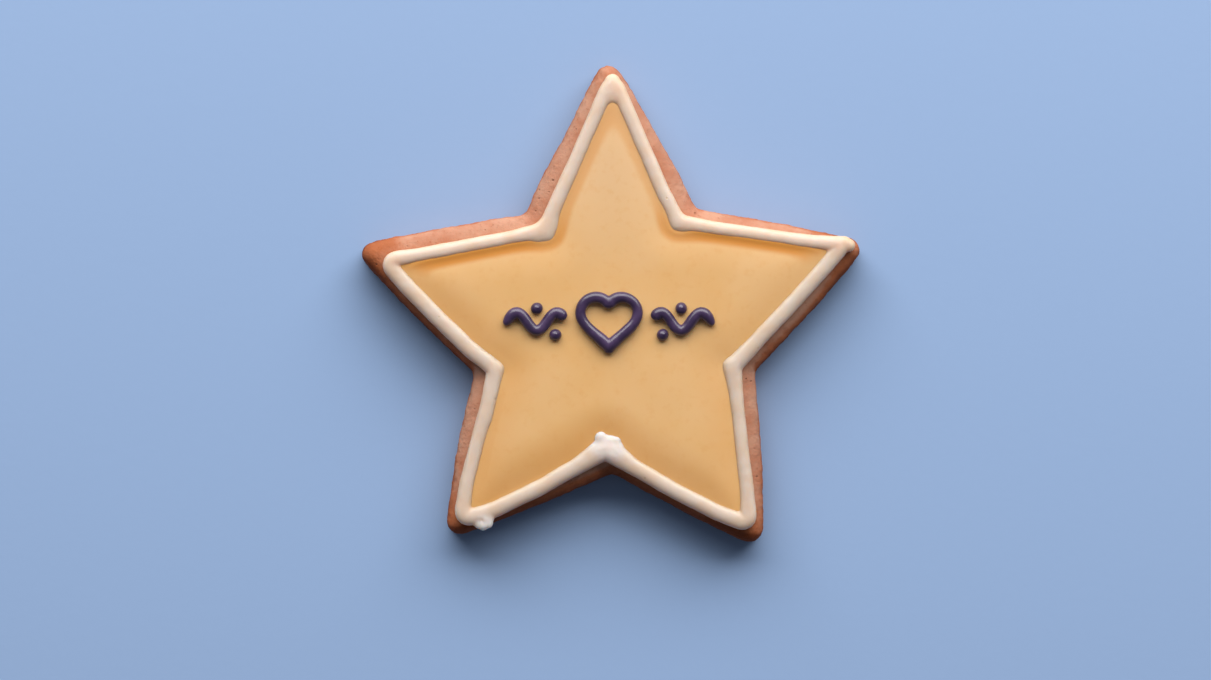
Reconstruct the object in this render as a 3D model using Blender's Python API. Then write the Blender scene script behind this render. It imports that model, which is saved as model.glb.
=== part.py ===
# A five-pointed star biscuit, iced by hand: flood icing inside a piped border, with a piped ornament
import math

import bmesh
import bpy
from mathutils import Matrix, Vector

# Driving sizes, in metres
MM = 0.001
PIECE_GAP = 0.3 * MM
BISCUIT_THICKNESS = 5.5 * MM
SHARPEST_RADIUS = 0.15 * MM
BORDER_HALF_WIDTH = 1.25 * MM
BORDER_HEIGHT = 1.7 * MM
FLOOD_HEIGHT = 1.35 * MM
STROKE_RADIUS = 0.78 * MM
STROKE_FLATTENING = 0.78
HEART_WIDTH = 8.6 * MM
HEART_CROSSING = 1.1
WAVE_LENGTH = 8.4 * MM
WAVE_AMPLITUDE = 1.25 * MM
DOT_RADIUS = 0.85 * MM
DOT_HEIGHT = 0.95 * MM
CORNER_STEPS = 6
BEAD_STEPS = 10

# Sharp corners of the baked star, tip and notch in turn: reach from its middle in mm, degrees,
# and the radius in mm that rounds the corner
BISCUIT_CORNERS = (
    (38.5, 90.3, 1.9),
    (19.65, 126.8, 1.2),
    (38.2, 162.9, 1.9),
    (20.1, 199.2, 1.0),
    (38.1, 232.5, 1.9),
    (20.65, 271.5, 1.2),
    (38.3, 304.5, 2.0),
    (21.45, 342.7, 1.0),
    (38.6, 17.8, 1.9),
    (20.5, 53.4, 1.2),
)

# The same for the middle line of the piped border, which runs unevenly
BORDER_CORNERS = (
    (34.9, 89.2, 0.9),
    (16.1, 123.8, 3.0),
    (33.2, 163.9, 0.4),
    (17.1, 201.0, 0.8),
    (34.7, 232.8, 0.8),
    (17.15, 268.4, 1.2),
    (34.8, 305.1, 0.7),
    (18.1, 341.8, 0.8),
    (34.6, 19.0, 0.4),
    (17.6, 56.2, 2.0),
)

# How the biscuit's edge goes in, and at what height, from the base to the top
BISCUIT_EDGE = (
    (0.55, 0.0),
    (0.15, 0.22),
    (0.0, 0.7),
    (0.0, 3.9),
    (0.12, 4.55),
    (0.45, 5.05),
    (1.0, 5.38),
    (1.8, 5.5),
)

# How the flood icing comes up from the groove beside the border: distance in, and height
FLOOD_EDGE = (
    (0.0, 0.0),
    (0.02, 0.45),
    (0.3, 0.78),
    (0.9, 1.02),
    (1.8, 1.2),
    (3.0, 1.31),
    (4.2, 1.35),
)

# Lumps of the border: x and y in mm, half length, half width, height in mm, and turn in degrees
BORDER_LUMPS = (
    (-8.3, 12.75, 1.8, 1.45, 1.9, 35.0),
    (9.6, 13.85, 1.9, 1.5, 1.95, -30.0),
    (-16.1, -5.5, 1.45, 1.3, 2.0, 60.0),
    (17.3, -5.3, 1.55, 1.45, 1.95, 0.0),
    (-1.1, -15.75, 1.45, 1.2, 2.3, 20.0),
    (0.65, -16.2, 1.35, 1.15, 2.1, -25.0),
    (-0.1, -17.5, 1.7, 1.05, 1.7, 0.0),
    (-0.15, -18.35, 0.6, 0.55, 0.8, 0.0),
    (-17.7, -27.7, 1.3, 0.75, 1.0, 15.0),
    (32.9, 11.85, 1.75, 0.95, 1.4, -4.0),
)

# Start again from an empty scene
for old in list(bpy.data.objects):
    bpy.data.objects.remove(old, do_unlink=True)
cookie = bpy.data.collections.new("star_cookie")
bpy.context.scene.collection.children.link(cookie)
cutters = bpy.data.collections.new("cutters")
bpy.context.scene.collection.children.link(cutters)


# Corner points of a star
def corner_points(corners):
    points = []
    for reach, degrees, _ in corners:
        turn = math.radians(degrees)
        points.append(Vector((reach * MM * math.cos(turn), reach * MM * math.sin(turn))))
    return points


# The same star with every side moved inwards
def inset_corners(points, inset):
    sides = []
    for index, start in enumerate(points):
        along = (points[(index + 1) % len(points)] - start).normalized()
        inwards = Vector((-along.y, along.x))
        sides.append((start + inwards * inset, along))
    moved = []
    for index, (start, along) in enumerate(sides):
        before, before_along = sides[index - 1]
        across = Vector((-along.y, along.x))
        distance = (start - before).dot(across) / before_along.dot(across)
        moved.append(before + before_along * distance)
    return moved


# One ring of points round a star, with its tips and notches rounded
def star_ring(star, inset, height):
    corners = inset_corners(corner_points(star), inset)
    ring = []
    for index, corner in enumerate(corners):
        is_tip = index % 2 == 0
        radius = star[index][2] * MM + (-inset if is_tip else inset)
        radius = max(radius, SHARPEST_RADIUS)
        back = (corners[index - 1] - corner).normalized()
        ahead = (corners[(index + 1) % len(corners)] - corner).normalized()
        half_angle = back.angle(ahead) / 2
        centre = corner + (back + ahead).normalized() * radius / math.sin(half_angle)
        first = corner + back * radius / math.tan(half_angle) - centre
        last = corner + ahead * radius / math.tan(half_angle) - centre
        start_turn = math.atan2(first.y, first.x)
        sweep = math.atan2(last.y, last.x) - start_turn
        sweep = (sweep + math.pi) % (2 * math.pi) - math.pi
        for step in range(CORNER_STEPS + 1):
            turn = start_turn + sweep * step / CORNER_STEPS
            x = centre.x + radius * math.cos(turn)
            y = centre.y + radius * math.sin(turn)
            ring.append(Vector((x, y, height)))
    return ring


# Middle of the biscuit's box, which becomes the origin
outline = star_ring(BISCUIT_CORNERS, 0, 0)
MIDDLE_X = (min(point.x for point in outline) + max(point.x for point in outline)) / 2
MIDDLE_Y = (min(point.y for point in outline) + max(point.y for point in outline)) / 2
TO_MIDDLE = Matrix.Translation((-MIDDLE_X, -MIDDLE_Y, 0))


# A material of one colour
def make_material(name, colour, roughness):
    material = bpy.data.materials.new(name)
    material.use_nodes = True
    shader = material.node_tree.nodes["Principled BSDF"]
    shader.inputs["Base Color"].default_value = (*colour, 1)
    shader.inputs["Roughness"].default_value = roughness
    shader.inputs["Metallic"].default_value = 0
    return material


BISCUIT_MATERIAL = make_material("biscuit", (0.56, 0.27, 0.13), 0.8)
FLOOD_MATERIAL = make_material("flood_icing", (0.71, 0.46, 0.2), 0.45)
BORDER_MATERIAL = make_material("border_icing", (0.84, 0.69, 0.54), 0.5)
PIPED_MATERIAL = make_material("piped_icing", (0.042, 0.024, 0.07), 0.3)


# A mesh object from a bmesh, in the collection asked for
def make_object(name, work, collection, material=None):
    bmesh.ops.recalc_face_normals(work, faces=work.faces)
    mesh = bpy.data.meshes.new(name)
    work.to_mesh(mesh)
    work.free()
    made = bpy.data.objects.new(name, mesh)
    collection.objects.link(made)
    if material:
        mesh.materials.append(material)
    return made


# Rings of points skinned from the first to the last, with flat ends or closed on itself
def loft(rings, closed=False):
    work = bmesh.new()
    loops = []
    for ring in rings:
        corners = [work.verts.new(point) for point in ring]
        edges = [work.edges.new((corners[i - 1], corners[i])) for i in range(len(corners))]
        loops.append(edges)
    pairs = list(zip(loops, loops[1:]))
    if closed:
        pairs.append((loops[-1], loops[0]))
    for lower, upper in pairs:
        bmesh.ops.bridge_loops(work, edges=lower + upper)
    if not closed:
        bmesh.ops.contextual_create(work, geom=loops[0])
        bmesh.ops.contextual_create(work, geom=loops[-1])
    bmesh.ops.triangulate(work, faces=[face for face in work.faces if len(face.verts) > 4])
    return work


# One ring of an ellipse
def ellipse_ring(half_length, half_width, height, steps):
    ring = []
    for step in range(steps):
        turn = 2 * math.pi * step / steps
        ring.append(Vector((half_length * math.cos(turn), half_width * math.sin(turn), height)))
    return ring


# A domed lump with a flat base, like a blob of icing
def dome(half_length, half_width, height, steps=16, levels=5):
    rings = []
    for level in range(levels):
        lift = math.radians(86) * level / (levels - 1)
        rings.append(
            ellipse_ring(half_length * math.cos(lift), half_width * math.cos(lift), height * math.sin(lift), steps)
        )
    return loft(rings)


# Boolean of one object with a collection of others, which are removed afterwards
def combine(target, others, operation):
    change = target.modifiers.new(operation.lower(), "BOOLEAN")
    change.operation = operation
    change.operand_type = "COLLECTION"
    change.collection = others
    change.solver = "EXACT"
    result = bpy.data.meshes.new_from_object(target.evaluated_get(bpy.context.evaluated_depsgraph_get()))
    target.modifiers.clear()
    target.data = result
    for other in list(others.objects):
        bpy.data.objects.remove(other, do_unlink=True)


# The baked star
biscuit_rings = []
for inset, height in BISCUIT_EDGE:
    biscuit_rings.append(star_ring(BISCUIT_CORNERS, inset * MM, height * MM))
biscuit_work = loft(biscuit_rings)
bmesh.ops.transform(biscuit_work, matrix=TO_MIDDLE, verts=biscuit_work.verts)
biscuit = make_object("biscuit", biscuit_work, cookie, BISCUIT_MATERIAL)

# The piped border: a half-round bead that follows its own star
icing_base = BISCUIT_THICKNESS + PIECE_GAP
border_rings = []
for step in range(BEAD_STEPS + 1):
    turn = math.pi * step / BEAD_STEPS
    inset = -BORDER_HALF_WIDTH * math.cos(turn)
    height = icing_base + BORDER_HEIGHT * math.sin(turn)
    border_rings.append(star_ring(BORDER_CORNERS, inset, height))
border_work = loft(border_rings, closed=True)
bmesh.ops.transform(border_work, matrix=TO_MIDDLE, verts=border_work.verts)
border = make_object("border_icing", border_work, cookie, BORDER_MATERIAL)

# Lumps where the piping starts, stops and turns, fused to the bead
lump_base = icing_base + 0.05 * MM
for index, (x, y, half_length, half_width, height, degrees) in enumerate(BORDER_LUMPS):
    lump = dome(half_length * MM, half_width * MM, height * MM)
    place = TO_MIDDLE @ Matrix.Translation((x * MM, y * MM, lump_base))
    place = place @ Matrix.Rotation(math.radians(degrees), 4, "Z")
    bmesh.ops.transform(lump, matrix=place, verts=lump.verts)
    make_object("lump_" + str(index), lump, cutters)
combine(border, cutters, "UNION")

# The flood icing: fills the border's inside and rises from the groove beside it
flood_start = BORDER_HALF_WIDTH + PIECE_GAP
flood_rings = []
for inset, height in FLOOD_EDGE:
    flood_rings.append(star_ring(BORDER_CORNERS, flood_start + inset * MM, icing_base + height * MM))
flood_work = loft(flood_rings)
bmesh.ops.transform(flood_work, matrix=TO_MIDDLE, verts=flood_work.verts)
flood = make_object("flood_icing", flood_work, cookie, FLOOD_MATERIAL)

# Room in the flood for the lumps
for index, (x, y, half_length, half_width, height, degrees) in enumerate(BORDER_LUMPS):
    wide = half_width * MM + PIECE_GAP
    long = half_length * MM + PIECE_GAP
    bottom = icing_base - 1 * MM
    top = icing_base + FLOOD_HEIGHT + 1 * MM
    room = loft([ellipse_ring(long, wide, bottom, 20), ellipse_ring(long, wide, top, 20)])
    place = TO_MIDDLE @ Matrix.Translation((x * MM, y * MM, 0))
    place = place @ Matrix.Rotation(math.radians(degrees), 4, "Z")
    bmesh.ops.transform(room, matrix=place, verts=room.verts)
    make_object("room_" + str(index), room, cutters)
combine(flood, cutters, "DIFFERENCE")

# Height at which the ornament lies on the flood
ornament_base = icing_base + FLOOD_HEIGHT + PIECE_GAP


# A piped stroke through points, with a blob at its start and a thin tail
def piped_stroke(name, points, radii, collection, material=None):
    curve = bpy.data.curves.new(name, "CURVE")
    curve.dimensions = "3D"
    curve.bevel_depth = STROKE_RADIUS
    curve.bevel_resolution = 3
    curve.use_fill_caps = True
    spline = curve.splines.new("POLY")
    spline.points.add(len(points) - 1)
    for place, (x, y), radius in zip(spline.points, points, radii):
        place.co = (x, y, 0.6 * radius * STROKE_RADIUS, 1)
        place.radius = radius
    drawn = bpy.data.objects.new(name + "_line", curve)
    collection.objects.link(drawn)
    mesh = bpy.data.meshes.new_from_object(drawn.evaluated_get(bpy.context.evaluated_depsgraph_get()))
    bpy.data.objects.remove(drawn, do_unlink=True)
    work = bmesh.new()
    work.from_mesh(mesh)
    bmesh.ops.remove_doubles(work, verts=work.verts, dist=0.001 * MM)
    return make_object(name, work, collection, material)


# Flattens a stroke, cuts its underside flat and lays it on the flood
def settle(target):
    work = bmesh.new()
    work.from_mesh(target.data)
    cut = bmesh.ops.bisect_plane(
        work,
        geom=work.verts[:] + work.edges[:] + work.faces[:],
        plane_co=(0, 0, 0),
        plane_no=(0, 0, 1),
        clear_inner=True,
    )
    rim = [item for item in cut["geom_cut"] if isinstance(item, bmesh.types.BMEdge)]
    bmesh.ops.triangle_fill(work, edges=rim, use_beauty=True)
    lay = TO_MIDDLE @ Matrix.Translation((0, 0, ornament_base))
    lay = lay @ Matrix.Diagonal((1, 1, STROKE_FLATTENING, 1))
    bmesh.ops.transform(work, matrix=lay, verts=work.verts)
    bmesh.ops.recalc_face_normals(work, faces=work.faces)
    work.to_mesh(target.data)
    work.free()


# Radii along a stroke: rounded start, full body, and a tail that thins out
def stroke_radii(count, tail):
    radii = []
    for index in range(count):
        along = index / (count - 1)
        start = math.sqrt(max(0.0, 1 - (1 - min(along / 0.06, 1)) ** 2))
        body = 1.12 - 0.16 * math.sin(math.pi * min(along * 1.2, 1))
        end = math.sqrt(max(0.0, 1 - (1 - min((1 - along) / tail, 1)) ** 2))
        radii.append(max(0.22, min(start, 1) * body * (0.25 + 0.75 * end)))
    return radii


# Points at equal steps along a finer line
def even_points(line, count):
    lengths = [0.0]
    for before, after in zip(line, line[1:]):
        lengths.append(lengths[-1] + math.dist(before, after))
    points = []
    part = 0
    for index in range(count):
        wanted = lengths[-1] * index / (count - 1)
        while part < len(line) - 2 and lengths[part + 1] < wanted:
            part += 1
        share = (wanted - lengths[part]) / (lengths[part + 1] - lengths[part])
        before, after = line[part], line[part + 1]
        points.append((before[0] + (after[0] - before[0]) * share, before[1] + (after[1] - before[1]) * share))
    return points


# Points by the heart formula for one side, 1 for right and -1 for left, a little past the middle
def heart_half(side, count):
    scale = HEART_WIDTH / 32
    line = []
    for index in range(200):
        turn = 0.3 + (math.pi - 0.38) * index / 199
        x = 16 * math.sin(turn) ** 3
        y = 13 * math.cos(turn) - 5 * math.cos(2 * turn) - 2 * math.cos(3 * turn) - math.cos(4 * turn)
        line.append((side * (x - HEART_CROSSING) * scale, (y + 3) * scale))
    return even_points(line, count)


# The outline heart in the middle: two strokes fused where they meet
heart_points = heart_half(1, 26)
heart = piped_stroke("piped_heart", heart_points, stroke_radii(26, 0.1), cookie, PIPED_MATERIAL)
heart_points = heart_half(-1, 23)
piped_stroke("heart_side", heart_points, stroke_radii(23, 0.14), cutters)
combine(heart, cutters, "UNION")
settle(heart)


# A wavy stroke beside the heart, drawn outwards
def wave_points(side, count):
    points = []
    for index in range(count):
        along = index / (count - 1)
        x = side * (6.2 * MM + WAVE_LENGTH * along)
        y = 0.6 * MM + WAVE_AMPLITUDE * math.sin(3 * math.pi * along + 0.35)
        points.append((x, y))
    return points


for name, side in (("piped_wave_left", -1), ("piped_wave_right", 1)):
    wave = piped_stroke(name, wave_points(side, 28), stroke_radii(28, 0.22), cookie, PIPED_MATERIAL)
    settle(wave)

# Four dots, one in each bay of the waves
dot_places = (
    (-7.5, -1.25),
    (-10.1, 2.45),
    (7.5, -1.25),
    (10.1, 2.45),
)
for index, (x, y) in enumerate(dot_places):
    dot = dome(DOT_RADIUS, DOT_RADIUS, DOT_HEIGHT, 14, 5)
    place = TO_MIDDLE @ Matrix.Translation((x * MM, y * MM, ornament_base))
    bmesh.ops.transform(dot, matrix=place, verts=dot.verts)
    make_object("piped_dot_" + str(index + 1), dot, cookie, PIPED_MATERIAL)

# Smooth shading, with the sharp rims kept
bpy.data.collections.remove(cutters)
for made in cookie.objects:
    made.data.shade_smooth()
    made.data.set_sharp_from_angle(angle=math.radians(40))
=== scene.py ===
import math

import bmesh
import bpy
from mathutils import Matrix, Vector, kdtree, noise


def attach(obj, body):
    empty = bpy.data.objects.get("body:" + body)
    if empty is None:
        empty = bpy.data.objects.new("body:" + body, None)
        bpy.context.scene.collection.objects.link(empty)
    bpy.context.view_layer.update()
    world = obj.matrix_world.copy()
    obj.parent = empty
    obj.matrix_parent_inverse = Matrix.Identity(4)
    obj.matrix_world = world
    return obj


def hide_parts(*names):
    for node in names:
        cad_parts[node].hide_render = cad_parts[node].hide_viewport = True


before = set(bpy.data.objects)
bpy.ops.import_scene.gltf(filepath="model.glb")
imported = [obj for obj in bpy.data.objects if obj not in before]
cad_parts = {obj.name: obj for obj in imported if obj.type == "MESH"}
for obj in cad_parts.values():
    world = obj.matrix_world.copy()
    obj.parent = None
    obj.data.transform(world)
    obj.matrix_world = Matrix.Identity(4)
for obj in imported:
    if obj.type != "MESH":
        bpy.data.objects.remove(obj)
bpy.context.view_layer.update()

mm = 0.001
starMiddle = Vector((-0.2265, -3.0982, 0.0)) * mm  # middle of the star in the row frame


# Small helpers for shapes. Sizes are in mm, and polar and place give points in metres.


def polar(reach, degrees, height=0.0):
    turn = math.radians(degrees)
    return starMiddle + Vector((reach * math.cos(turn), reach * math.sin(turn), height)) * mm


def place(x, y, height=0.0):  # counted from the star's middle
    return starMiddle + Vector((x, y, height)) * mm


def smoothStep(low, high, value):
    t = min(max((value - low) / (high - low), 0.0), 1.0)
    return t * t * (3 - 2 * t)


# One face in the shape of a star, each corner rounded by its own radius
def roundedStar(work, corners, height, inset=0.0, segments=8):
    points = [polar(reach, degrees, height) for reach, degrees, radius in corners]
    verts = [work.verts.new(point) for point in points]
    face = work.faces.new(verts)
    for index, (vert, corner) in enumerate(zip(verts, corners)):
        back = (points[index - 1] - points[index]).normalized()
        ahead = (points[(index + 1) % len(points)] - points[index]).normalized()
        tangent = corner[2] * mm / math.tan(back.angle(ahead) / 2)
        bmesh.ops.bevel(
            work, geom=[vert], offset=tangent, offset_type="OFFSET", segments=segments,
            profile=0.5, affect="VERTICES", material=-1,
        )
    face = max(work.faces, key=lambda f: f.calc_area())
    if inset:
        bmesh.ops.inset_region(work, faces=[face], thickness=inset * mm, use_even_offset=True)
        outer = [f for f in work.faces if f is not face]
        bmesh.ops.delete(work, geom=outer, context="FACES")
        loose = [v for v in work.verts if not v.link_faces]
        bmesh.ops.delete(work, geom=loose, context="VERTS")
    return max(work.faces, key=lambda f: f.calc_area())


def starSlab(corners, low, high, inset=0.0):
    work = bmesh.new()
    face = roundedStar(work, corners, low, inset)
    grown = bmesh.ops.extrude_face_region(work, geom=[face], use_keep_orig=True)
    raised = [item for item in grown["geom"] if isinstance(item, bmesh.types.BMVert)]
    bmesh.ops.translate(work, verts=raised, vec=(0, 0, (high - low) * mm))
    bmesh.ops.recalc_face_normals(work, faces=work.faces)
    return work


def fineMesh(work, name, voxel, softening):  # even, dense mesh of whatever the bmesh holds
    rough = bpy.data.meshes.new(name)
    work.to_mesh(rough)
    work.free()
    holder = bpy.data.objects.new(name + "Rough", rough)
    bpy.context.scene.collection.objects.link(holder)
    grid = holder.modifiers.new("grid", "REMESH")
    grid.mode = "VOXEL"
    grid.voxel_size = voxel * mm
    if softening:
        soften = holder.modifiers.new("soften", "SMOOTH")
        soften.factor = 0.5
        soften.iterations = softening
    depsgraph = bpy.context.evaluated_depsgraph_get()
    mesh = bpy.data.meshes.new_from_object(holder.evaluated_get(depsgraph))
    mesh.name = name
    bpy.data.objects.remove(holder, do_unlink=True)
    bpy.data.meshes.remove(rough)
    return mesh


def finishPiece(mesh, name, material, nodes):
    mesh.materials.clear()
    mesh.materials.append(material)
    mesh.shade_smooth()
    piece = bpy.data.objects.new(name, mesh)
    bpy.context.scene.collection.objects.link(piece)
    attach(piece, "root")
    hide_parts(*nodes)
    print(name, "has", sum(len(p.vertices) - 2 for p in mesh.polygons), "triangles")


def evenly(line, step, closed, fewest=4):  # points at equal steps along a line
    if closed:
        line = line + [line[0]]
    lengths = [0.0]
    for before, after in zip(line, line[1:]):
        lengths.append(lengths[-1] + (after - before).length)
    count = max(int(lengths[-1] / (step * mm)), fewest)
    points, part = [], 0
    for index in range(count if closed else count + 1):
        wanted = lengths[-1] * index / count
        while part < len(line) - 2 and lengths[part + 1] < wanted:
            part += 1
        share = (wanted - lengths[part]) / max(lengths[part + 1] - lengths[part], 1e-9)
        points.append(line[part].lerp(line[part + 1], share))
    return points


def rope(work, points, radii, closed, sides=5):  # adds a round bead through the points
    curve = bpy.data.curves.new("rope", "CURVE")
    curve.dimensions = "3D"
    curve.bevel_depth = 1.0
    curve.bevel_resolution = sides
    curve.use_fill_caps = not closed
    spline = curve.splines.new("POLY")
    spline.points.add(len(points) - 1)
    spline.use_cyclic_u = closed
    for point, co, radius in zip(spline.points, points, radii):
        point.co = (*co, 1.0)
        point.radius = radius
    holder = bpy.data.objects.new("rope", curve)
    bpy.context.scene.collection.objects.link(holder)
    depsgraph = bpy.context.evaluated_depsgraph_get()
    mesh = bpy.data.meshes.new_from_object(holder.evaluated_get(depsgraph))
    bpy.data.objects.remove(holder, do_unlink=True)
    part = bmesh.new()
    part.from_mesh(mesh)
    bmesh.ops.remove_doubles(part, verts=part.verts, dist=1e-7)
    part.to_mesh(mesh)
    part.free()
    work.from_mesh(mesh)
    bpy.data.meshes.remove(mesh)


# Number of the nearest side, share along it, distance from it and its outward direction
def nearestSide(point, corners):
    best = None
    for index, start in enumerate(corners):
        side = corners[(index + 1) % len(corners)] - start
        along = (point.x - start.x) * side.x + (point.y - start.y) * side.y
        share = min(max(along / side.length_squared, 0.0), 1.0)
        away = math.hypot(
            point.x - start.x - side.x * share, point.y - start.y - side.y * share)
        if best is None or away < best[2]:
            best = (index, share, away, Vector((side.y, -side.x, 0)).normalized())
    return best


def alongSides(spot, table):  # smooth value from four numbers a side: its start and its quarters
    values = [value for row in table for value in row]
    first = int(spot * 4)
    blend = smoothStep(0.0, 1.0, spot * 4 - first)
    return values[first % len(values)] * (1 - blend) + values[(first + 1) % len(values)] * blend


def lump(work, centre, half, turn=0.0):  # a squashed ball of icing
    shape = (
        Matrix.Translation(centre)
        @ Matrix.Rotation(math.radians(turn), 4, "Z")
        @ Matrix.Diagonal((half[0] * mm, half[1] * mm, half[2] * mm, 1))
    )
    bmesh.ops.create_uvsphere(work, u_segments=24, v_segments=14, radius=1.0, matrix=shape)


# Shader maths: a Wire is a socket that takes part in sums, and a Look is a material


class Wire:
    def __init__(self, look, socket):
        self.look, self.socket = look, socket

    def __add__(self, other):
        return self.look.sum("ADD", self, other)

    def __sub__(self, other):
        return self.look.sum("SUBTRACT", self, other)

    def __rsub__(self, other):
        return self.look.sum("SUBTRACT", other, self)

    def __mul__(self, other):
        return self.look.sum("MULTIPLY", self, other)

    __radd__ = __add__
    __rmul__ = __mul__


class Look:
    def __init__(self, name, **fixed):
        self.material = bpy.data.materials.new(name)
        self.material.use_nodes = True
        self.tree = self.material.node_tree
        self.shader = self.tree.nodes["Principled BSDF"]
        for socket, value in fixed.items():
            self.shader.inputs[socket.replace("_", " ")].default_value = value
        self.where = self.node("TexCoord", output="Object")

    def node(self, kind, settings={}, inputs={}, output=0):
        made = self.tree.nodes.new("ShaderNode" + kind)
        for key, value in settings.items():
            setattr(made, key, value)
        for key, value in inputs.items():
            self.plug(made.inputs[key], value)
        return Wire(self, made.outputs[output])

    def plug(self, socket, value):
        if isinstance(value, Wire):
            self.tree.links.new(value.socket, socket)
        else:
            socket.default_value = value

    def sum(self, operation, first, second):
        return self.node("Math", {"operation": operation}, {0: first, 1: second})

    def ramp(self, value, low, high):  # 0 below low, 1 above high
        settings = {"interpolation_type": "SMOOTHSTEP"}
        inputs = {"Value": value, "From Min": low, "From Max": high}
        return self.node("MapRange", settings, inputs)

    def noise(self, size, detail=3.0, roughness=0.5):  # size in mm
        inputs = {
            "Vector": self.where, "Scale": 1 / (size * mm), "Detail": detail,
            "Roughness": roughness,
        }
        return self.node("TexNoise", {}, inputs)

    def cells(self, size):  # size in mm
        return self.node("TexVoronoi", {}, {"Vector": self.where, "Scale": 1 / (size * mm)})

    def mix(self, factor, first, second):
        return self.node("Mix", {"data_type": "RGBA"}, {0: factor, 6: first, 7: second}, 2)

    def attribute(self, name):
        return self.node("Attribute", {"attribute_name": name}, {}, "Fac")

    def bump(self, height, depth, strength=1.0):  # depth in mm
        inputs = {"Height": height, "Distance": depth * mm, "Strength": strength}
        return self.node("Bump", {}, inputs)

    def feed(self, **sockets):
        for socket, value in sockets.items():
            self.plug(self.shader.inputs[socket.replace("_", " ")], value)
        return self.material


def colour(red, green, blue):
    return (red, green, blue, 1.0)


# Camera, straight above as in the photo. The frame's width is true at scaleHeight.
cameraLook = {
    "centre": (-0.492, -1.968), "distance": 600.0, "frameWidth": 170.2, "scaleHeight": 4.5,
    "sensor": 36.0, "nearest": 0.01, "farthest": 10.0,
}

camera = bpy.data.objects.new("camera", bpy.data.cameras.new("camera"))
bpy.context.scene.collection.objects.link(camera)
bpy.context.scene.camera = camera
camera.data.sensor_width = cameraLook["sensor"]
camera.data.lens = cameraLook["sensor"] * cameraLook["distance"] / cameraLook["frameWidth"]
camera.location = place(*cameraLook["centre"], cameraLook["scaleHeight"] + cameraLook["distance"])
camera.data.clip_start = cameraLook["nearest"]
camera.data.clip_end = cameraLook["farthest"]
bpy.context.scene.view_settings.view_transform = "Standard"
print("camera is set")


# The baked star
biscuitLook = {
    # tip and notch in turn: reach from the middle, degrees, and the radius that rounds it
    "corners": [
        (38.5, 90.3, 1.9), (19.65, 126.8, 1.2), (38.2, 162.9, 1.9), (20.1, 199.2, 1.0),
        (38.1, 232.5, 1.9), (20.65, 271.5, 1.2), (38.3, 304.5, 2.0), (21.45, 342.7, 1.0),
        (38.6, 17.8, 1.9), (20.5, 53.4, 1.2),
    ],
    "top": 5.5, "roundWide": 2.4, "roundTall": 1.9, "lowRound": 0.4,
    "voxel": 0.26, "softening": 2, "rimStep": 0.15,
    # outward bulge of the outline, at the corner and at each quarter of the side after it
    "bulge": [
        (0.0, 0.1, 0.1, 0.2), (0.0, 0.1, 0.15, 0.1), (0.0, 0.2, 0.3, 0.2),
        (0.0, 0.25, 0.45, 0.25), (0.0, 0.2, 0.3, 0.2), (0.0, 0.2, 0.3, 0.2),
        (0.0, 0.3, 0.45, 0.3), (0.0, 0.2, 0.3, 0.2), (0.0, 0.1, 0.15, 0.1),
        (0.0, 0.3, 0.35, 0.3),
    ],
    "bulgeFade": (6.0, 0.5),  # distance from a side at which the bulge is nothing, and full
    # depth of the relief: waves of the side, crust, what the side adds to it, crumbs, pores
    "waves": 0.10, "crust": 0.045, "sideCrust": 0.08, "crumbs": 0.022, "pores": 0.13,
    "poreEdge": (0.05, 0.24), "topPores": 0.3,
    "restHeight": 0.35, "restRelief": 0.6,  # below this height it has only hollows, and less
    # browning, with painted shade and painted light: how much of each, and the range over which it
    # comes in
    "tipBrown": 0.5, "tipReach": (26.0, 37.0), "topTipPale": 0.72, "topTipRange": (18.0, 28.0),
    "wallBrown": 0.4, "wallRange": (0.3, 0.95), "footBrown": 0.3, "footRange": (2.2, 0.2),
    # painted shade: crust that faces away from the lamp, towards -y, is made darker brown
    "lowSideShade": 0.75, "lowSideShadeRange": (0.15, 0.7),
    "leftTipBrown": 0.25, "leftTipRange": (28.0, 36.0),
    # painted light: the right-facing crust of the upper arms, on the side the lamp is turned to,
    # is made paler
    "rightLitPale": 0.2, "rightLitPaleRange": (0.2, 0.8), "rightLitPaleHeight": (2.0, 12.0),
    "underBrown": 0.55, "underEdge": 0.3, "underRange": (10.0, 34.0), "underPatches": 0.2,
    "pale": (0.56, 0.29, 0.19), "tan": (0.49, 0.205, 0.12), "toast": (0.43, 0.13, 0.05),
    # the dark speck colour also serves as painted shade in the pores
    "brown": (0.25, 0.055, 0.014), "speckAndPoreShade": (0.12, 0.03, 0.01),
    "patchSize": 5.0, "grainSize": 0.75, "fineSize": 0.42, "pitSize": 1.25, "pitSpread": 2.4,
    "bumpDepth": 0.22, "bumpStrength": 0.8,
}


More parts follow.
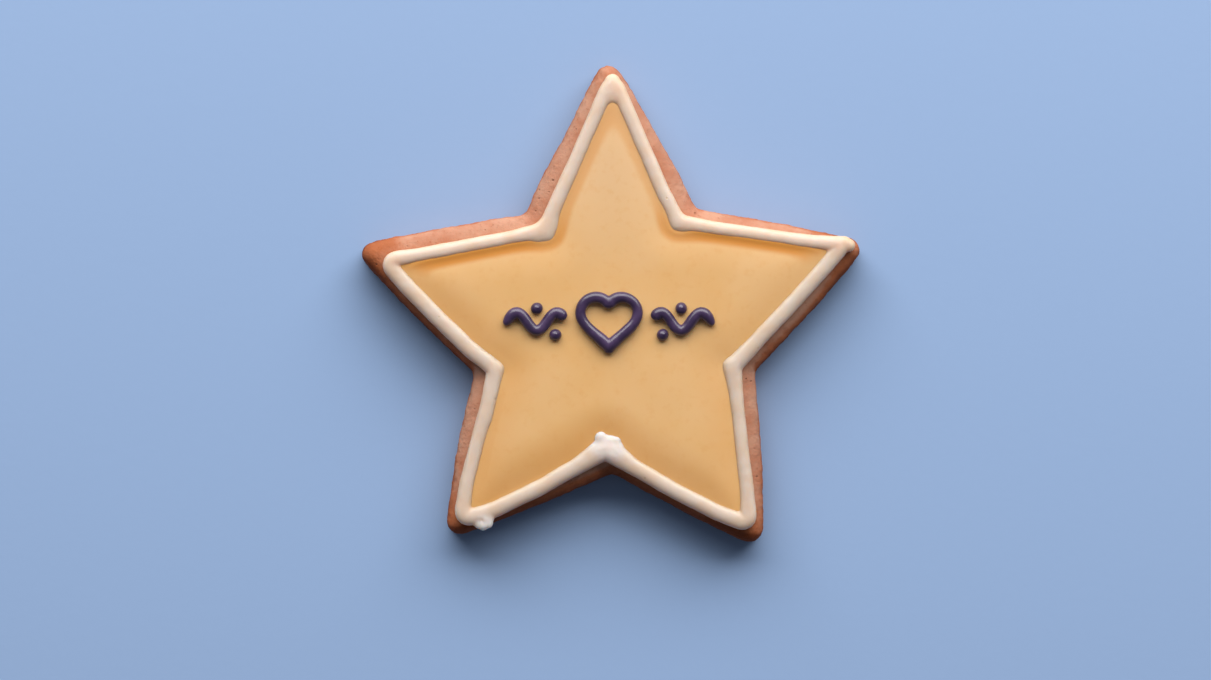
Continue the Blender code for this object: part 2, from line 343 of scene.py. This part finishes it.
def biscuitMaterial(look):
    shade = Look(
        "bakedBiscuit", Roughness=0.82, Specular_IOR_Level=0.2,
        Subsurface_Weight=0.06, Subsurface_Scale=0.0008,
    )
    brown = colour(*look["brown"])
    patches = shade.ramp(shade.noise(look["patchSize"], 4.0, 0.6), 0.35, 0.68)
    grain = shade.noise(look["grainSize"], 6.0, 0.62)
    # the attribute holds baked browning together with painted shade and painted light
    browningAndShading = shade.attribute("browningAndShading")
    crust = shade.mix(patches, colour(*look["pale"]), colour(*look["tan"]))
    bakedAndShaded = browningAndShading + patches * 0.2 + grain * 0.2
    crust = shade.mix(shade.ramp(bakedAndShaded, 0.2, 0.75), crust, colour(*look["toast"]))
    crust = shade.mix(shade.ramp(bakedAndShaded, 0.65, 1.3), crust, brown)
    crust = shade.mix(shade.ramp(grain, 0.56, 0.74) * 0.45, crust, brown)
    holes = 1 - shade.ramp(shade.cells(look["pitSize"]), 0.06, 0.17)
    sparse = shade.ramp(shade.noise(look["pitSpread"], 2.0), 0.5, 0.62)
    pits = holes * sparse
    # dark specks in the pits: partly real dark specks, partly painted shade in the pores
    crust = shade.mix(pits * 0.4, crust, colour(*look["speckAndPoreShade"]))
    height = shade.noise(look["fineSize"], 5.0, 0.65) * 0.6 + grain * 0.6 - pits * 0.8
    return shade.feed(
        Base_Color=crust,
        Roughness=0.72 + grain * 0.2,
        Normal=shade.bump(height, look["bumpDepth"], look["bumpStrength"]),
    )


def roundedSlab(look):  # the star with rounded edges and bulging sides
    outline = bmesh.new()
    face = roundedStar(outline, look["corners"], 0.0)
    rim = evenly([loop.vert.co.copy() for loop in face.loops], look["rimStep"], True)
    outline.free()
    tree = kdtree.KDTree(len(rim))
    for index, point in enumerate(rim):
        tree.insert(point, index)
    tree.balance()
    corners = [polar(reach, degrees) for reach, degrees, radius in look["corners"]]
    slab = fineMesh(starSlab(look["corners"], 0.0, look["top"]), "slab", look["voxel"], 0)
    for vert in slab.vertices:
        spot = vert.co.copy()
        inset = tree.find((spot.x, spot.y, 0))[2] / mm
        side, share, away, outward = nearestSide(spot, corners)
        over = 1 - min(inset / look["roundWide"], 1.0)
        roof = look["top"] - look["roundTall"] * (1 - math.sqrt(1 - over ** 2))
        under = 1 - min(inset / look["lowRound"], 1.0)
        foot = look["lowRound"] * (1 - math.sqrt(1 - under ** 2))
        spot.z = (foot + spot.z / mm / look["top"] * (roof - foot)) * mm
        fade = smoothStep(*look["bulgeFade"], away / mm)
        shift = alongSides(side + share, look["bulge"]) * fade
        vert.co = spot + outward * shift * mm
    work = bmesh.new()
    work.from_mesh(slab)
    bpy.data.meshes.remove(slab)
    return fineMesh(work, "bakedStar", look["voxel"], look["softening"])


# browning of the crust, with painted shade on the sides that face away from the lamp and painted
# light on the right-facing crust of the upper arms
def browningAndShadingAt(spot, out, look):  # 0 where it's pale, above 1 where it's dark
    flat = spot - starMiddle
    wall = 1 - abs(out.z)
    reach = math.hypot(flat.x, flat.y) / mm
    if out.z < -0.5:  # underside: browner towards its edge
        edge = look["underEdge"] * smoothStep(*look["underRange"], reach)
        return look["underBrown"] + edge + look["underPatches"] * noise.noise(spot * 160)
    paleTop = 1 - look["topTipPale"] * smoothStep(*look["topTipRange"], flat.y / mm)
    tip = smoothStep(*look["tipReach"], reach) * paleTop
    level = spot.z / mm
    bakedAndShaded = (
        look["tipBrown"] * tip
        + look["wallBrown"] * smoothStep(*look["wallRange"], wall)
        + look["footBrown"] * wall * smoothStep(*look["footRange"], level)
    )
    # painted shade on the crust that faces away from the lamp, and a browner left tip
    bakedAndShaded += (
        look["lowSideShade"] * smoothStep(*look["lowSideShadeRange"], -out.y)
        + look["leftTipBrown"] * smoothStep(*look["leftTipRange"], -flat.x / mm)
    )
    # painted light: paler crust where it faces right, on the side the lamp is turned to
    litRightPale = look["rightLitPale"] * smoothStep(*look["rightLitPaleRange"], out.x)
    return bakedAndShaded - litRightPale * smoothStep(*look["rightLitPaleHeight"], flat.y / mm)


def makeBiscuit(look):
    mesh = roundedSlab(look)
    browningAndShading = mesh.attributes.new("browningAndShading", "FLOAT", "POINT")
    values, moved = [], []
    for vert in mesh.vertices:
        spot, out = vert.co.copy(), vert.normal.copy()
        wall = 1 - abs(out.z)
        move = look["waves"] * noise.noise(spot * 180) * wall  # the side isn't quite straight
        rough = look["crust"] + look["sideCrust"] * wall
        move += rough * noise.fractal(spot * 700, 0.9, 2.1, 3)
        move += look["crumbs"] * noise.noise(spot * 1900)
        cell = noise.voronoi(spot * 850)[0][0]
        hollow = 1 - smoothStep(*look["poreEdge"], cell)
        move -= look["pores"] * hollow * (look["topPores"] + wall)  # more pores on the side
        if spot.z < look["restHeight"] * mm:
            move = min(move, 0.0) * look["restRelief"]
        moved.append(spot + out * move * mm)
        values.append(browningAndShadingAt(spot, out, look))
    for vert, spot in zip(mesh.vertices, moved):
        spot.z = max(spot.z, 0.0)
        vert.co = spot
    browningAndShading.data.foreach_set("value", values)
    finishPiece(mesh, "bakedStar", biscuitMaterial(look), ["biscuit"])


makeBiscuit(biscuitLook)


# The piped border
borderLook = {
    # middle line of the bead, tip and notch in turn: reach, degrees and radius
    "corners": [
        (34.9, 89.2, 0.9), (16.1, 123.8, 3.0), (32.5, 163.9, 0.8), (17.1, 201.0, 0.8),
        (34.2, 232.8, 0.8), (17.15, 268.4, 1.2), (34.0, 305.1, 0.8), (18.1, 341.8, 0.8),
        (34.6, 19.0, 0.4), (17.6, 56.2, 2.0),
    ],
    # outward sway of the bead and its half width, at the corner and at each quarter of the side
    "sway": [
        (-0.05, -0.05, -0.05, 0.0), (-0.05, -0.13, -0.08, -0.05), (0.1, 0.38, 0.42, 0.4),
        (-0.1, -0.15, 0.18, 0.35), (0.05, 0.7, 0.74, 0.45), (-0.05, 0.45, 0.64, 0.56),
        (0.05, 0.22, 0.14, 0.14), (0.05, 0.16, 0.22, 0.16), (0.0, -0.2, -0.24, -0.3),
        (-0.2, -0.35, -0.25, -0.1),
    ],
    "half": [
        (1.15, 1.12, 1.1, 1.15), (1.25, 1.09, 1.09, 1.09), (1.2, 1.25, 1.24, 1.26),
        (1.3, 1.2, 1.08, 1.1), (1.25, 1.2, 1.2, 1.26), (1.7, 1.24, 1.2, 1.2),
        (1.25, 1.08, 1.04, 1.06), (1.35, 1.2, 1.18, 1.16), (1.2, 1.07, 1.06, 1.07),
        (1.2, 1.1, 1.1, 1.12),
    ],
    "swayNoise": 0.05, "slowWidth": 0.03, "quickWidth": 0.025, "step": 0.3,
    "axis": 6.05, "usualHalf": 1.15, "tall": 0.99, "shoulder": 0.62,
    "voxel": 0.158, "softening": 11,
    # a second strand that shows as a ridge along the lower left leg
    "strand": [(-17.9, -12.0, 6.35), (-19.6, -19.5, 6.4), (-21.0, -26.2, 6.3)],
    "strandStep": 0.4, "strandRadius": 0.62,
    # thickened corners: corner number, how far inwards, run along each side, radius
    "fillers": [
        (1, 0.9, 4.8, 1.12), (9, 0.65, 4.2, 1.1), (3, 0.55, 2.6, 1.05), (7, 0.5, 2.6, 1.05),
        (0, 2.2, 3.6, 1.05),
    ],
    "fillerSteps": 10, "fillerEnd": 0.35, "fillerSwell": 0.65,
    "fillerLumps": (0.3, 0.65), "lumpWiden": 1.05,
    # smoothing of the corners, in rings that grow smaller
    "knotInwards": 0.4, "ringCount": 12, "ringReach": 4.6, "ringShrink": 0.27, "ringTurns": 5,
    # where the bag started and stopped: x, y, height and radius along the squiggle
    "start": [
        (-2.0, -17.5, 6.2, 0.7), (-1.35, -16.7, 6.5, 0.85), (-1.15, -15.6, 6.6, 0.88),
        (-0.5, -16.0, 6.55, 0.85), (0.3, -16.1, 6.5, 0.85), (1.0, -16.2, 6.5, 0.75),
        (1.2, -17.0, 6.5, 0.9), (0.3, -17.2, 6.7, 1.0), (-0.9, -17.2, 6.5, 0.95),
        (0.2, -18.1, 6.4, 1.0), (0.35, -18.9, 6.15, 0.8),
    ],
    "tail": [
        (-18.6, -27.0, 6.4, 0.7), (-18.2, -27.7, 6.3, 0.75), (-17.6, -27.9, 6.35, 0.8),
        (-17.0, -27.6, 6.4, 0.8), (-16.8, -26.9, 6.4, 0.75), (-17.7, -27.2, 6.6, 0.75),
    ],
    "point": [
        (31.2, 11.55, 6.1, 0.95), (32.1, 11.65, 6.05, 1.02), (33.0, 11.55, 6.0, 1.05),
        (33.6, 11.3, 5.95, 0.95), (34.0, 11.3, 5.9, 0.8),
    ],
    # middles and reaches of the whiter, rougher icing
    "startMiddle": (-0.1, -16.3), "startReach": 3.4,
    "tailMiddle": (-17.4, -27.7), "tailReach": 1.7, "crumblyReach": 1.9,
    # golden tint at the bead's foot, on the inner side partly icing coloured by the flood and
    # partly painted warm bounce light in the bead's shade, on the outer side painted warm bounce
    # light only: heights at which it is nothing, and full, and how much
    "innerTintAndBounce": (7.15, 6.75, 0.5), "outerBounceTint": (7.12, 6.4, 0.45),
    "ivory": (0.72, 0.57, 0.48), "cream": (0.71, 0.525, 0.405), "milk": (0.79, 0.67, 0.62),
    # the bubble colour is painted shade for the bubble pits
    "foot": (0.78, 0.43, 0.17), "bubbleShade": (0.55, 0.36, 0.20), "scatter": (1.0, 0.7, 0.48),
    "bumpDepth": 0.1, "bumpStrength": 0.55,
}


def borderMaterial(look):
    shade = Look("ivoryIcing", Roughness=0.42, Subsurface_Weight=0.8, Subsurface_Scale=0.0029)
    shade.shader.inputs["Subsurface Radius"].default_value = look["scatter"]
    clouds = shade.ramp(shade.noise(3.2, 3.0), 0.35, 0.68)
    tone = shade.mix(clouds, colour(*look["ivory"]), colour(*look["cream"]))
    fresh = shade.attribute("fresh")
    tone = shade.mix(fresh, tone, colour(*look["milk"]))
    # foot colour: a golden tint that is partly painted warm bounce light in the bead's shade
    tone = shade.mix(shade.attribute("foot"), tone, colour(*look["foot"]))
    sparse = shade.ramp(shade.noise(4.5, 1.0), 0.55, 0.62)
    shadedBubblePits = (1 - shade.ramp(shade.cells(1.9), 0.05, 0.12)) * sparse
    # painted shade: the bubble pits are darkened to a warm brown
    tone = shade.mix(shadedBubblePits * 0.45, tone, colour(*look["bubbleShade"]))
    height = shade.noise(0.9, 3.0, 0.5) * 0.5 + shade.noise(0.28, 2.0, 0.5) * 0.12 - shadedBubblePits
    return shade.feed(
        Base_Color=tone,
        Roughness=0.36 + shade.noise(1.6, 3.0) * 0.2 + fresh * 0.25,
        Normal=shade.bump(height, look["bumpDepth"], look["bumpStrength"]),
    )


def addBead(work, corners, look):  # the bead all round, and its second strand
    outline = bmesh.new()
    face = roundedStar(outline, look["corners"], look["axis"])
    line = [loop.vert.co.copy() for loop in face.loops]
    outline.free()
    points = evenly(line, look["step"], True)
    sways, radii = [], []
    for point in points:
        side, share = nearestSide(point, corners)[:2]
        sway, half = alongSides(side + share, look["sway"]), alongSides(side + share, look["half"])
        slow = look["slowWidth"] * noise.noise(point * 230)
        quick = look["quickWidth"] * noise.noise(point * 700)
        sways.append(sway + look["swayNoise"] * noise.noise(point * 160))
        radii.append(half * mm * (1 + slow + quick))
    swayed = []
    for index, point in enumerate(points):
        run = points[(index + 3) % len(points)] - points[index - 3]
        outward = Vector((run.y, -run.x, 0)).normalized()
        swayed.append(point + outward * sways[index] * mm)
    rope(work, swayed, radii, True)
    strand = evenly([place(*spot) for spot in look["strand"]], look["strandStep"], False)
    last = len(strand) - 1
    thick = [
        look["strandRadius"] * mm * math.sin(math.pi * (0.06 + 0.9 * index / last)) ** 0.5
        for index in range(len(strand))
    ]
    rope(work, strand, thick, False)


def addFillers(work, corners, look):  # the thickened corners
    steps = look["fillerSteps"]
    for number, inwards, run, radius in look["fillers"]:
        corner = corners[number]
        inward = Vector((starMiddle.x - corner.x, starMiddle.y - corner.y, 0)).normalized()
        bend, sizes = [], []
        for step in range(-steps, steps + 1):
            share = abs(step) / steps
            full = 1 - share ** 2
            other = corners[(number + (1 if step > 0 else -1)) % len(corners)]
            along = (other - corner).normalized() * share * run * mm
            bend.append(corner + along + inward * inwards * full * mm)
            sizes.append(radius * (look["fillerEnd"] + look["fillerSwell"] * full) * mm)
        rope(work, bend, sizes, False)
        wide = radius * look["lumpWiden"]
        for share in look["fillerLumps"]:
            lump(work, corner + inward * inwards * share * mm, (wide, wide, radius))


def addSquiggles(work, look):  # start, tail and end of the piping
    for name in ("start", "tail", "point"):
        spots = [place(x, y, level) for x, y, level, radius in look[name]]
        sizes = [radius * mm for x, y, level, radius in look[name]]
        rope(work, spots, sizes, False)
        for x, y, level, radius in look[name][1:-1]:
            lump(work, place(x, y, level), (radius, radius, radius))


def smoothCorners(mesh, corners, look):  # no crease where the strands meet, fading outwards
    soft = bmesh.new()
    soft.from_mesh(mesh)
    for number, inwards, run, radius in look["fillers"]:
        towards = (starMiddle - corners[number]).normalized()
        knot = corners[number] + towards * look["knotInwards"] * inwards * mm
        for ring in range(look["ringCount"]):
            reach = (look["ringReach"] - look["ringShrink"] * ring) * mm
            upper = [
                v for v in soft.verts
                if v.normal.z > 0.5 and math.hypot(v.co.x - knot.x, v.co.y - knot.y) < reach
            ]
            for turn in range(look["ringTurns"]):
                bmesh.ops.smooth_vert(
                    soft, verts=upper, factor=0.5,
                    use_axis_x=False, use_axis_y=False, use_axis_z=True,
                )
    soft.to_mesh(mesh)
    soft.free()


def makeBorder(look):
    corners = [polar(reach, degrees, look["axis"]) for reach, degrees, radius in look["corners"]]
    work = bmesh.new()
    addBead(work, corners, look)
    addFillers(work, corners, look)
    addSquiggles(work, look)
    middle = look["axis"] * mm
    for vert in work.verts:  # a fuller shoulder and a flatter top than a round rope
        rise = (vert.co.z - middle) / (look["usualHalf"] * mm)
        fuller = math.copysign(abs(rise) ** look["shoulder"], rise)
        vert.co.z = middle + fuller * look["tall"] * look["usualHalf"] * mm
    mesh = fineMesh(work, "pipedBorder", look["voxel"], look["softening"])
    smoothCorners(mesh, corners, look)
    # the foot attribute is partly icing tinted by the flood and partly painted warm bounce light
    # in the bead's shade
    for name in ("fresh", "foot"):  # newest, whiter icing, and icing tinted at its foot
        mesh.attributes.new(name, "FLOAT", "POINT")
    start, tail = place(*look["startMiddle"]), place(*look["tailMiddle"])
    values, footTintsAndBounce, moved = [], [], []
    for vert in mesh.vertices:
        spot, out = vert.co.copy(), vert.normal.copy()
        ground = Vector((spot.x, spot.y, 0))
        fromTail = (ground - tail).length
        near = max(
            1 - (ground - start).length / (look["startReach"] * mm),
            1 - fromTail / (look["tailReach"] * mm),
        )
        fresh = smoothStep(0.0, 0.5, near)
        inner = nearestSide(spot, corners)[3].dot(out) < 0
        # painted warm bounce light on the shaded flanks, and on the inner side also the flood's
        # colour where it meets the bead
        high, low, amount = look["innerTintAndBounce"] if inner else look["outerBounceTint"]
        tint = smoothStep(high, low, spot.z / mm) * amount
        crumbly = smoothStep(0.0, 0.4, 1 - fromTail / (look["crumblyReach"] * mm))
        move = 0.03 * noise.noise(spot * 900) + 0.02 * noise.noise(spot * 350)
        move += fresh * 0.06 * noise.noise(spot * 1100) + crumbly * 0.03 * noise.noise(spot * 1500)
        values.append(fresh)
        footTintsAndBounce.append(tint * (1 - fresh))
        moved.append(spot + out * move * mm)
    for vert, spot in zip(mesh.vertices, moved):
        vert.co = spot
    mesh.attributes["fresh"].data.foreach_set("value", values)
    mesh.attributes["foot"].data.foreach_set("value", footTintsAndBounce)
    finishPiece(mesh, "pipedBorder", borderMaterial(look), ["border_icing"])


makeBorder(borderLook)


# The flood icing. It fills the border's outline and runs on under the bead.
floodLook = {
    "inset": 0.35, "low": 5.3, "top": 7.1, "voxel": 0.21,
    "wallTop": 0.7,  # above this height over its base, the surface takes its final height
    "groove": 6.66, "dome": 0.46, "domeStart": 0.7, "reach": 5.6, "waves": 0.03,
    "rise": 0.24, "riseFrom": 2.0, "riseLimit": 0.95,  # how it climbs the bead
    "sharpness": 1.1,  # of the blend between the sides' distances
    # how amber the icing beside the bead is, side by side: its deeper colour at the edge and a
    # painted shadow of the bead, strongest on the upper sides; and a wider, fainter amber, partly
    # painted shade on the lower sides where the dome falls away from the lamp
    "amberShadow": [0.5, 1.0, 0.1, 0.35, 0.1, 0.1, 0.15, 0.0, 1.0, 0.4],
    "wideAmberShade": [0.0, 0.0, 0.3, 0.25, 0.38, 0.35, 0.2, 0.12, 0.0, 0.0],
    "amberShadowRange": (1.9, 2.75), "wideAmberShadeRange": (1.6, 6.5),
    # deep: the amber colour, which also stands for painted shadow beside the bead
    "gold": (0.775, 0.455, 0.18), "deep": (0.67, 0.275, 0.052), "light": (0.795, 0.49, 0.22),
    # painted sheen: a paler, whiter colour laid on towards the top tip
    "paintedSheen": (0.755, 0.50, 0.285), "paintedSheenAmount": 0.7, "paintedSheenReach": 22,
    "scatter": (1.0, 0.75, 0.55), "bumpDepth": 0.12, "bumpStrength": 0.5,
}


def floodMaterial(look):
    shade = Look(
        "goldenIcing", Roughness=0.4, Specular_IOR_Level=0.42,
        Subsurface_Weight=0.35, Subsurface_Scale=0.0014,
    )
    shade.shader.inputs["Subsurface Radius"].default_value = look["scatter"]
    clouds = shade.ramp(shade.noise(11.0, 3.0), 0.32, 0.7)
    tone = shade.mix(clouds, colour(*look["gold"]), colour(*look["light"]))
    # painted sheen: the icing is made paler and whiter towards the top tip, where the lamp's broad
    # sheen lies on the dome
    towardsTip = shade.node("SeparateXYZ", {}, {0: shade.where}, "Y")
    upper = shade.ramp(towardsTip, 0.0, look["paintedSheenReach"] * mm)  # paler towards the top tip
    tone = shade.mix(upper * look["paintedSheenAmount"], tone, colour(*look["paintedSheen"]))
    # deep amber beside the bead: partly the icing's deeper colour at its edge, partly painted
    # shadow of the bead
    edgeAmberAndShadow = shade.attribute("edgeAmberAndShadow")
    deep = colour(*look["deep"])
    tone = shade.mix(edgeAmberAndShadow, tone, deep)
    tone = shade.mix(shade.ramp(shade.noise(1.1, 4.0), 0.5, 0.8) * 0.18, tone, deep)
    relief = shade.noise(6.0, 2.0) * 0.8 + shade.noise(1.3, 3.0) * 0.12
    relief = relief + shade.noise(0.3, 2.0) * 0.02
    return shade.feed(
        Base_Color=tone,
        Roughness=0.36 + shade.noise(2.2, 3.0) * 0.12,
        Normal=shade.bump(relief, look["bumpDepth"], look["bumpStrength"]),
    )


# Soft nearest distance to the border's middle line, with the narrow and the wider amber of the
# sides there, which carry painted shadow and painted shade
def fromBorder(spot, sides, look):
    total, amberShadow, wideAmberShade = 0.0, 0.0, 0.0
    for (start, along, length), share, faint in zip(sides, look["amberShadow"], look["wideAmberShade"]):
        run = min(max((spot - start).dot(along), 0.0), length)
        weight = math.exp(-(spot - start - along * run).length / mm * look["sharpness"])
        total += weight
        amberShadow += weight * share
        wideAmberShade += weight * faint
    return -math.log(total) / look["sharpness"], amberShadow / total, wideAmberShade / total


def makeFlood(look):
    slab = starSlab(borderLook["corners"], look["low"], look["top"], look["inset"])
    mesh = fineMesh(slab, "floodIcing", look["voxel"], 0)
    corners = [polar(reach, degrees) for reach, degrees, radius in borderLook["corners"]]
    sides = []
    for index, start in enumerate(corners):
        along = corners[(index + 1) % len(corners)] - start
        sides.append((start, along.normalized(), along.length))
    edgeAmberAndShadow = mesh.attributes.new("edgeAmberAndShadow", "FLOAT", "POINT")
    values = []
    for vert in mesh.vertices:
        spot = Vector((vert.co.x, vert.co.y, 0))
        distance, amberShadow, wideAmberShade = fromBorder(spot, sides, look)
        # the amber edge with its painted shadow, and the wider amber with its painted shade
        values.append(max(
            (1 - smoothStep(*look["amberShadowRange"], distance)) * amberShadow,
            (1 - smoothStep(*look["wideAmberShadeRange"], distance)) * wideAmberShade,
        ))
        if vert.co.z > (look["low"] + look["wallTop"]) * mm:
            across = min(max((distance - look["domeStart"]) / look["reach"], 0.0), 1.0)
            dome = look["dome"] * (1 - (1 - across) ** 2)
            beside = min(max(look["riseFrom"] - distance, 0.0), look["riseLimit"])
            rise = look["rise"] * amberShadow * beside ** 2
            waves = look["waves"] * noise.noise(spot * 130)
            vert.co.z = (look["groove"] + rise + dome + waves) * mm
    edgeAmberAndShadow.data.foreach_set("value", values)
    finishPiece(mesh, "floodIcing", floodMaterial(look), ["flood_icing"])


makeFlood(floodLook)


# The ornament: a heart between two waves, with dots, in dark piping
ornamentLook = {
    "radius": 0.79, "squash": 0.93, "level": 7.1, "voxel": 0.11, "softening": 4,
    "strokeStep": 0.25, "strokeNoise": 0.07, "strokeLift": 0.6, "strokeSunk": 0.15,
    # a stroke's rounded start, its fuller and thinner body, and how thin its end may be
    "startShare": 0.06, "body": 1.12, "waist": 0.16, "waistPace": 1.2,
    "thinnest": 0.2, "endShare": 0.25, "endSwell": 0.75,
    "heartWidth": 8.6, "heartSteps": 120, "heartCrossing": 1.1, "heartTail": 0.12,
    "heartStart": 0.3, "heartShort": 0.38,
    "waveStart": 6.2, "waveLength": 8.4, "waveMiddle": 0.6, "waveHeight": 1.25,
    "wavePhase": 0.35, "waveSteps": 60, "waveTail": 0.22,
    "dots": [(-7.5, -1.25), (-10.1, 2.45), (7.5, -1.25), (10.1, 2.45)],
    "dotHalf": (0.88, 0.84, 0.95), "dotLift": 0.2, "dotTurn": 30,
    "peakHalf": (0.3, 0.28, 0.4), "peakShift": (0.12, 0.1), "peakLift": 0.85,
    "violet": (0.040, 0.022, 0.066), "plum": (0.075, 0.042, 0.11),
    "bumpDepth": 0.08, "bumpStrength": 0.5,
}


def ornamentMaterial(look):
    shade = Look("violetIcing", Roughness=0.3, Coat_Weight=0.35, Coat_Roughness=0.22)
    clouds = shade.ramp(shade.noise(1.8, 3.0), 0.35, 0.7)
    tone = shade.mix(clouds, colour(*look["violet"]), colour(*look["plum"]))
    height = shade.noise(0.8, 3.0) * 0.6 + shade.noise(0.25, 2.0) * 0.12
    return shade.feed(
        Base_Color=tone,
        Roughness=0.26 + shade.noise(1.0, 2.0) * 0.14,
        Normal=shade.bump(height, look["bumpDepth"], look["bumpStrength"]),
    )


def strokeRadii(count, tail, look):  # rounded start, full body, thinning tail
    radii = []
    for index in range(count):
        along = index / (count - 1)
        start = math.sqrt(max(0.0, 1 - (1 - min(along / look["startShare"], 1)) ** 2))
        waist = look["waist"] * math.sin(math.pi * min(along * look["waistPace"], 1))
        body = look["body"] - waist
        end = math.sqrt(max(0.0, 1 - (1 - min((1 - along) / tail, 1)) ** 2))
        full = start * body * (look["endShare"] + look["endSwell"] * end)
        radii.append(max(look["thinnest"], full) * look["radius"] * mm)
    return radii


def stroke(work, line, tail, look):
    points = evenly(line, look["strokeStep"], False)
    radii = strokeRadii(len(points), tail, look)
    for index, (point, radius) in enumerate(zip(points, radii)):
        radii[index] = radius * (1 + look["strokeNoise"] * noise.noise(point * 500))
        point.z = look["level"] * mm + radius * look["strokeLift"]
    rope(work, points, radii, False)


# Squashes what the bmesh holds down onto the icing and makes a piece of it
def finishOrnament(work, name, node, material, look):
    level = look["level"] * mm
    for vert in work.verts:
        vert.co.z = level + (vert.co.z - level) * look["squash"]
        if vert.co.z < level:
            vert.co.z = level - look["strokeSunk"] * mm
    mesh = fineMesh(work, name, look["voxel"], look["softening"])
    finishPiece(mesh, name, material, [node])


def makeHeart(material, look):
    work = bmesh.new()
    scale = look["heartWidth"] / 32  # the heart formula is 32 wide
    last = look["heartSteps"] - 1
    for side in (1, -1):
        line = []
        for index in range(look["heartSteps"]):
            turn = look["heartStart"] + (math.pi - look["heartShort"]) * index / last
            x = 16 * math.sin(turn) ** 3 - look["heartCrossing"]
            y = (
                13 * math.cos(turn) - 5 * math.cos(2 * turn)
                - 2 * math.cos(3 * turn) - math.cos(4 * turn)
            )
            line.append(place(side * x * scale, (y + 3) * scale))
        stroke(work, line, look["heartTail"], look)
    finishOrnament(work, "pipedHeart", "piped_heart", material, look)


def makeWave(name, node, side, material, look):
    work = bmesh.new()
    line = []
    for index in range(look["waveSteps"]):
        along = index / (look["waveSteps"] - 1)
        swing = math.sin(3 * math.pi * along + look["wavePhase"])
        x = side * (look["waveStart"] + look["waveLength"] * along)
        line.append(place(x, look["waveMiddle"] + look["waveHeight"] * swing))
    stroke(work, line, look["waveTail"], look)
    finishOrnament(work, name, node, material, look)


def makeDot(index, x, y, material, look):  # a blob with the nozzle's little peak
    work = bmesh.new()
    level, shift = look["level"], look["peakShift"]
    lump(work, place(x, y, level + look["dotLift"]), look["dotHalf"], look["dotTurn"] * index)
    peak = place(x + shift[0], y + shift[1], level + look["peakLift"])
    lump(work, peak, look["peakHalf"])
    number = str(index + 1)
    finishOrnament(work, "dot" + number, "piped_dot_" + number, material, look)


def makeOrnament(look):
    material = ornamentMaterial(look)
    makeHeart(material, look)
    makeWave("waveLeft", "piped_wave_left", -1, material, look)
    makeWave("waveRight", "piped_wave_right", 1, material, look)
    for index, (x, y) in enumerate(look["dots"]):
        makeDot(index, x, y, material, look)


makeOrnament(ornamentLook)


# Floor and light
studioLook = {
    "paper": (0.30, 0.435, 0.69), "fibreShade": 0.8, "fibreAmount": 0.08,
    "floorHalf": 1.5, "floorHeight": -0.00002,  # in metres, just under the biscuit
    "key": {
        "distance": 0.8, "height": 36.5, "turn": 5.0, "size": (1.6, 0.61), "power": 16.6,
        "tint": (1.0, 0.985, 0.96),
    },
    "fill": {"tint": (0.76, 0.85, 1.0), "strength": 0.115},
}


def makeFloor(look):
    work = bmesh.new()
    bmesh.ops.create_grid(work, x_segments=1, y_segments=1, size=look["floorHalf"])
    bmesh.ops.translate(work, verts=work.verts, vec=(0, 0, look["floorHeight"]))
    mesh = bpy.data.meshes.new("floor")
    work.to_mesh(mesh)
    work.free()
    floor = bpy.data.objects.new("floor", mesh)
    bpy.context.scene.collection.objects.link(floor)
    shade = Look("paper", Roughness=0.7)
    fibres = shade.noise(1.5, 4.0, 0.6)
    darker = colour(*[part * look["fibreShade"] for part in look["paper"]])
    tone = shade.mix(fibres * look["fibreAmount"], colour(*look["paper"]), darker)
    mesh.materials.append(shade.feed(Base_Color=tone, Normal=shade.bump(fibres, 0.03, 0.3)))


def makeLights(look):
    key = look["key"]
    lamp = bpy.data.lights.new("key", "AREA")
    lamp.shape = "RECTANGLE"
    lamp.size, lamp.size_y = key["size"]
    lamp.energy = key["power"]
    lamp.color = key["tint"]
    holder = bpy.data.objects.new("key", lamp)
    rise, turn = math.radians(key["height"]), math.radians(key["turn"])
    level = math.cos(rise)
    ray = Vector((math.sin(turn) * level, math.cos(turn) * level, math.sin(rise)))
    holder.location = starMiddle + ray * key["distance"]
    holder.rotation_euler = (rise - math.pi / 2, 0, -turn)
    holder.visible_camera = False
    bpy.context.scene.collection.objects.link(holder)
    world = bpy.data.worlds.new("room")
    bpy.context.scene.world = world
    world.use_nodes = True
    sky = world.node_tree.nodes["Background"]
    sky.inputs["Color"].default_value = colour(*look["fill"]["tint"])
    sky.inputs["Strength"].default_value = look["fill"]["strength"]


makeFloor(studioLook)
makeLights(studioLook)
print("floor and light are set")
